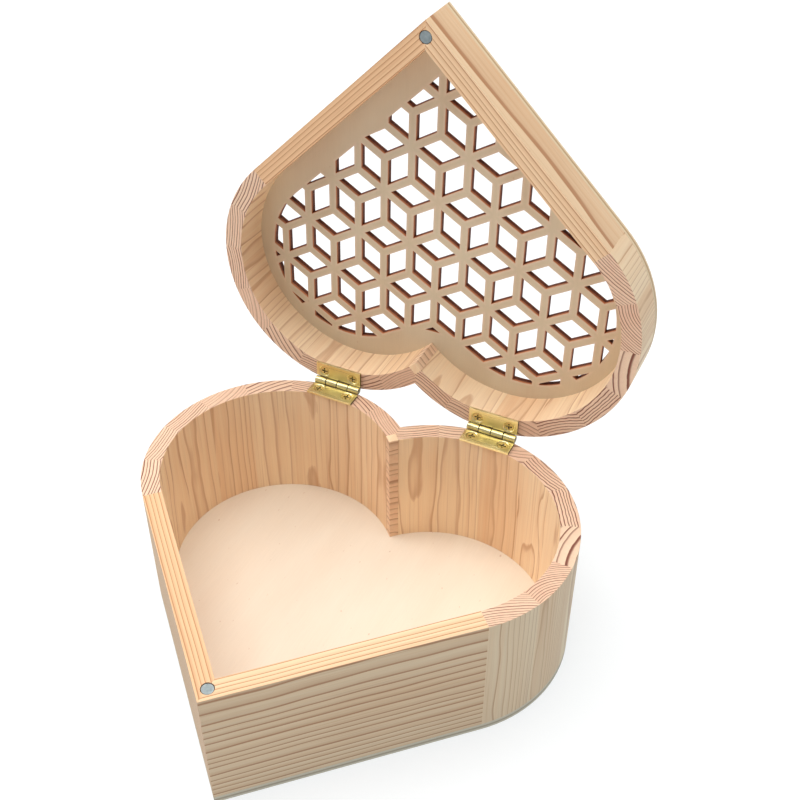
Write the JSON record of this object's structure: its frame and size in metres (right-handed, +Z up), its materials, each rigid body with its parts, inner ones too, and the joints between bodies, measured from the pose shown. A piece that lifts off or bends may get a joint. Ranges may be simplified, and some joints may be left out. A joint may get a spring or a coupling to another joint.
{
  "type": "keepsake box",
  "caption": "Heart-shaped wooden keepsake box with stave-built round walls, a brass-hinged shallow lid with a pierced fretwork top, and a magnet catch at the tip.",
  "frame": {"origin": "centre of the base's footprint on the surface the box stands on", "axes": "+Z up, -Y towards the heart's tip and the front of the box, +Y towards the hinges, +X to the right seen from the front; the box is symmetric about X = 0 and is stored with its lid open"},
  "size_m": [0.1686, 0.1814, 0.2127],
  "materials": {
    "pine_sides": "raw planed pine",
    "pine_staves": "raw sanded pine, end grain on the rims",
    "pine_strips": "raw sanded pine",
    "bottom_ply": "raw birch plywood",
    "fret_ply": "raw birch plywood with dark cut edges",
    "hinge_brass": "brass-plated, satin",
    "screw_brass": "brass-plated, satin",
    "magnet": "nickel-plated"
  },
  "bodies": {
    "base": {"base_bottom_panel": "bottom_ply", "base_left_side": "pine_sides", "base_left_stave_1": "pine_staves", "base_left_stave_2": "pine_staves", "base_left_stave_3": "pine_staves", "base_left_stave_4": "pine_staves", "base_left_stave_5": "pine_staves", "base_left_stave_6": "pine_staves", "base_left_stave_7": "pine_staves", "base_left_stave_8": "pine_staves", "base_right_side": "pine_sides", "base_right_stave_1": "pine_staves", "base_right_stave_2": "pine_staves", "base_right_stave_3": "pine_staves", "base_right_stave_4": "pine_staves", "base_right_stave_5": "pine_staves", "base_right_stave_6": "pine_staves", "base_right_stave_7": "pine_staves", "base_right_stave_8": "pine_staves", "base_cleft_strip": "pine_strips", "base_magnet": "magnet", "hinge_left_base_leaf": "hinge_brass", "hinge_left_pin": "hinge_brass", "hinge_left_base_screws": "screw_brass", "hinge_right_base_leaf": "hinge_brass", "hinge_right_pin": "hinge_brass", "hinge_right_base_screws": "screw_brass"},
    "lid": {"lid_left_side": "pine_sides", "lid_left_stave_1": "pine_staves", "lid_left_stave_2": "pine_staves", "lid_left_stave_3": "pine_staves", "lid_left_stave_4": "pine_staves", "lid_left_stave_5": "pine_staves", "lid_left_stave_6": "pine_staves", "lid_left_stave_7": "pine_staves", "lid_left_stave_8": "pine_staves", "lid_right_side": "pine_sides", "lid_right_stave_1": "pine_staves", "lid_right_stave_2": "pine_staves", "lid_right_stave_3": "pine_staves", "lid_right_stave_4": "pine_staves", "lid_right_stave_5": "pine_staves", "lid_right_stave_6": "pine_staves", "lid_right_stave_7": "pine_staves", "lid_right_stave_8": "pine_staves", "lid_cleft_strip": "pine_strips", "lid_fret_panel": "fret_ply", "lid_magnet": "magnet", "hinge_left_lid_leaf": "hinge_brass", "hinge_left_lid_screws": "screw_brass", "hinge_right_lid_leaf": "hinge_brass", "hinge_right_lid_screws": "screw_brass"}
  },
  "joints": [
    {"name": "lid_hinge", "type": "hinge", "parent": "base", "child": "lid", "pos_m": [0, 0.07761, 0.0571], "axis": [1, 0, 0], "range_deg": [0, 93.1]}
  ]
}
